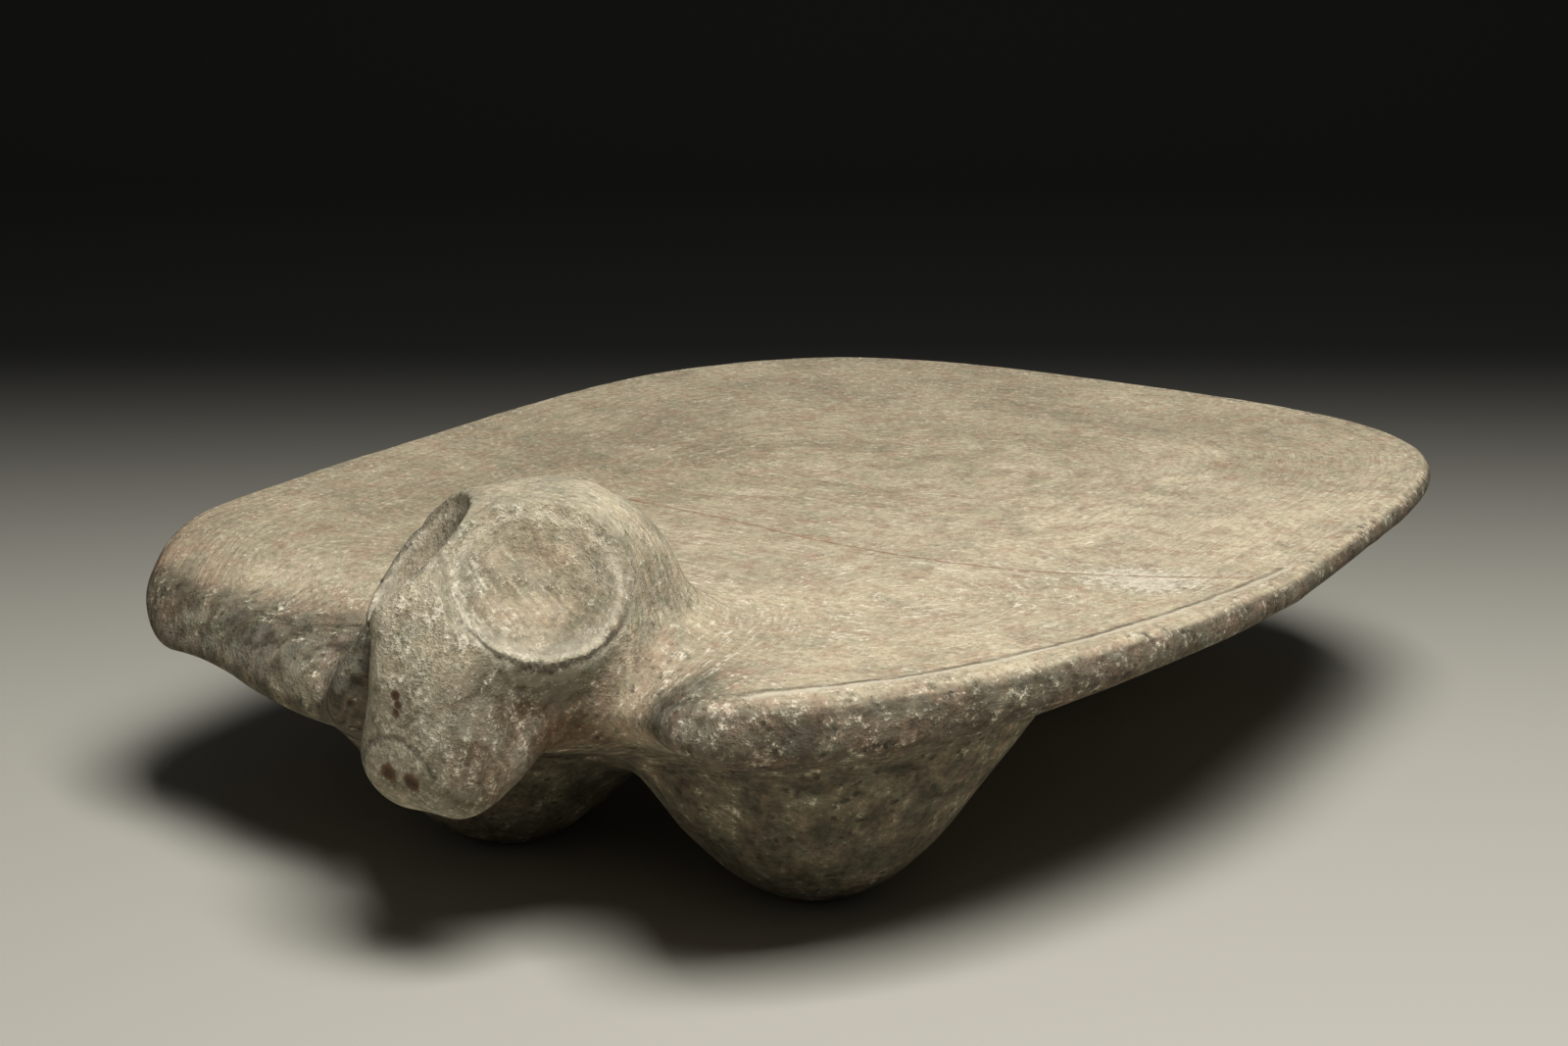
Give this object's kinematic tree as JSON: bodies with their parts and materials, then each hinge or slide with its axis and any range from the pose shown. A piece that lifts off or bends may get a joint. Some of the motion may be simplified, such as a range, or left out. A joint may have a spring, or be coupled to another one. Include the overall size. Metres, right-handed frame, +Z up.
{
  "type": "metate grinding stone",
  "caption": "Low grinding stone with a shield-shaped plate on squat rounded feet and an animal's head with dished eyes standing between blunt lobes at the front.",
  "frame": {"origin": "middle of the bounding box in plan, on the floor that the feet stand on", "axes": "+Z up, +Y from the head to the back edge of the plate, +X towards the side that is near in the picture"},
  "size_m": [0.3258, 0.421, 0.1268],
  "materials": {
    "stone": "worn smooth on top, pecked and stained on the sides"
  },
  "bodies": {
    "root": {"metate_stone": "stone"}
  },
  "joints": []
}
